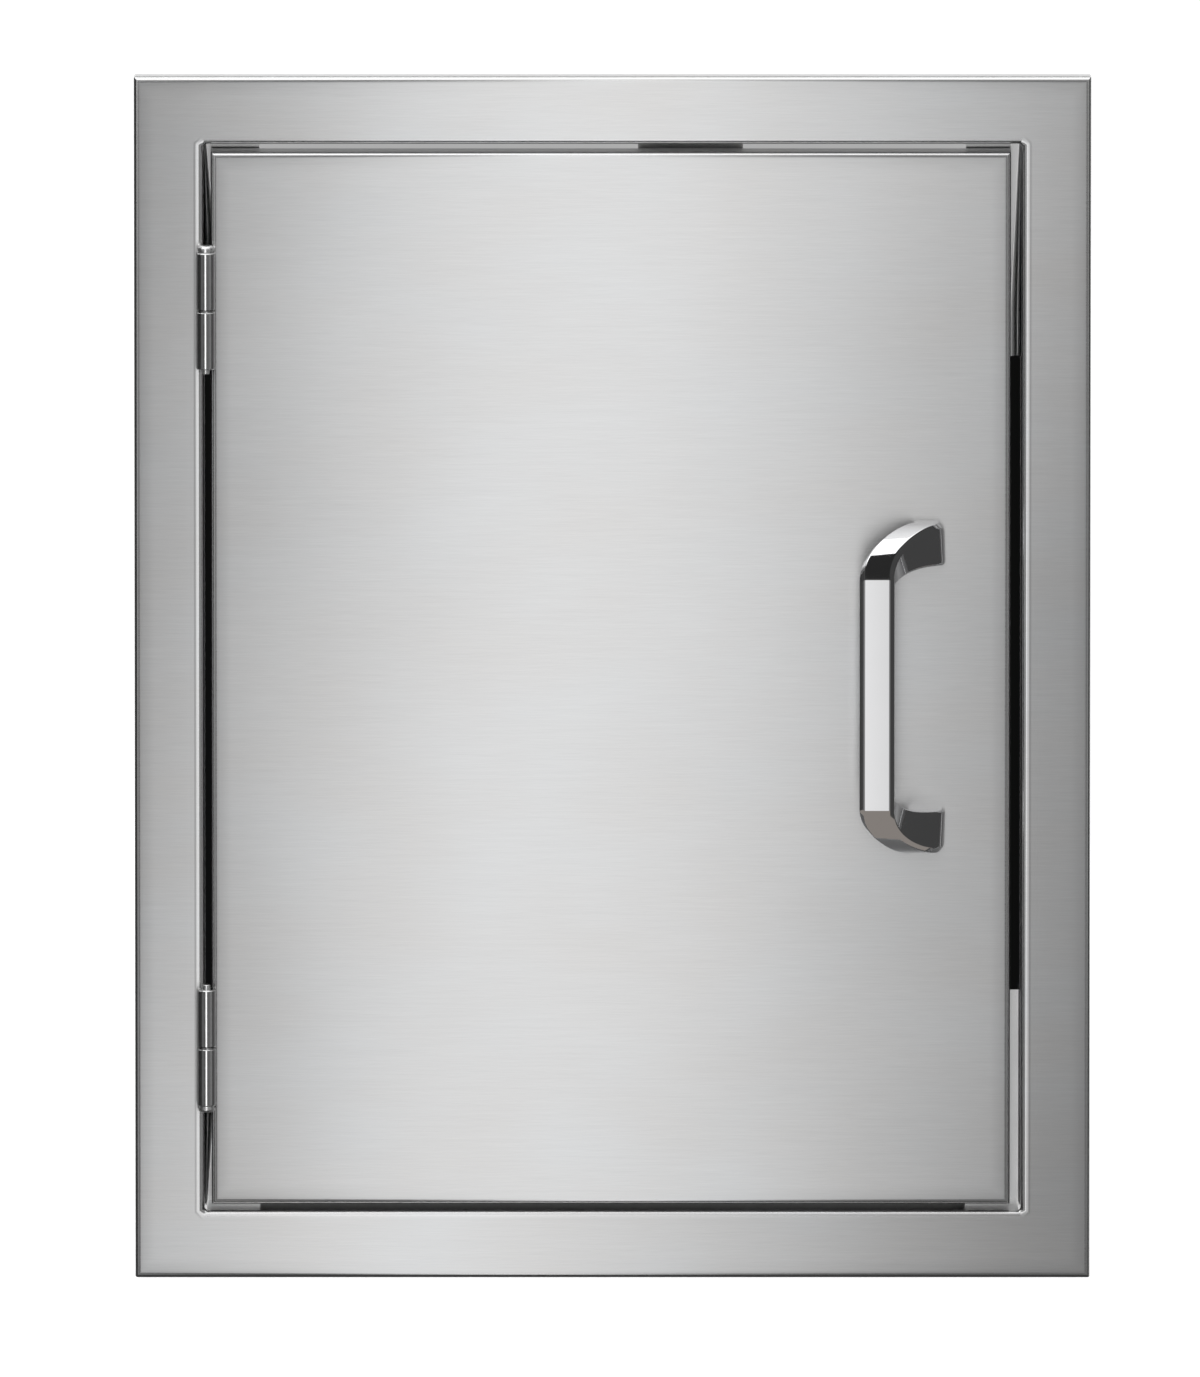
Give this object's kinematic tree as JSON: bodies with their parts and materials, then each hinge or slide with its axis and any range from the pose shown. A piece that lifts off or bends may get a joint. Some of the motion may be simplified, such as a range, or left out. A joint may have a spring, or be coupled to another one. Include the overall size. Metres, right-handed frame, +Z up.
{
  "type": "outdoor kitchen access door",
  "caption": "Flush brushed-stainless access door in a folded wall frame, hung on barrel hinges, with an offset cast pull handle and a magnetic catch.",
  "frame": {"origin": "centre of the opening, on the face of the island's wall, which is the plane of the frame's rear rims", "axes": "+X to the right seen from outside, +Y into the island, +Z up"},
  "size_m": [0.4826, 0.0858, 0.6112],
  "materials": {
    "frame_stainless": "horizontal brushed grain",
    "door_stainless": "horizontal brushed grain",
    "liner_stainless": "horizontal brushed grain, duller than the front",
    "stop_stainless": "plain mill finish",
    "inner_steel": "plain mill finish",
    "hinge_stainless": "polished",
    "pin_stainless": "polished",
    "washer_stainless": "polished",
    "handle_chrome": "polished chrome plate over a casting",
    "screw_zinc": "bright zinc plate",
    "strike_steel": "nickel plate",
    "black_plastic": "moulded, fine grain",
    "magnet_ferrite": "ground ferrite",
    "bumper_rubber": "moulded"
  },
  "bodies": {
    "frame": {"face_frame": "frame_stainless", "upper_left_corner_stop": "stop_stainless", "upper_right_corner_stop": "stop_stainless", "lower_left_corner_stop": "stop_stainless", "lower_right_corner_stop": "stop_stainless", "stop_bumpers": "bumper_rubber", "catch_bracket": "stop_stainless", "catch_housing": "black_plastic", "catch_magnet": "magnet_ferrite", "catch_pole_plates": "strike_steel", "catch_screws": "screw_zinc", "upper_hinge_frame_leaf": "hinge_stainless", "lower_hinge_frame_leaf": "hinge_stainless", "upper_hinge_washer": "washer_stainless", "lower_hinge_washer": "washer_stainless", "upper_hinge_pin": "pin_stainless", "lower_hinge_pin": "pin_stainless"},
    "door": {"door_skin": "door_stainless", "door_liner": "liner_stainless", "liner_plugs": "black_plastic", "left_stiffener": "inner_steel", "right_stiffener": "inner_steel", "strike_plate": "strike_steel", "strike_rivets": "strike_steel", "handle": "handle_chrome", "handle_backing_plate": "inner_steel", "handle_washers": "screw_zinc", "handle_screws": "screw_zinc", "upper_hinge_door_leaf": "hinge_stainless", "lower_hinge_door_leaf": "hinge_stainless"}
  },
  "joints": [
    {"name": "door_swing", "type": "hinge", "parent": "frame", "child": "door", "pos_m": [-0.2051, -0.0169, 0], "axis": [0, 0, -1], "range_deg": [0, 170]}
  ]
}
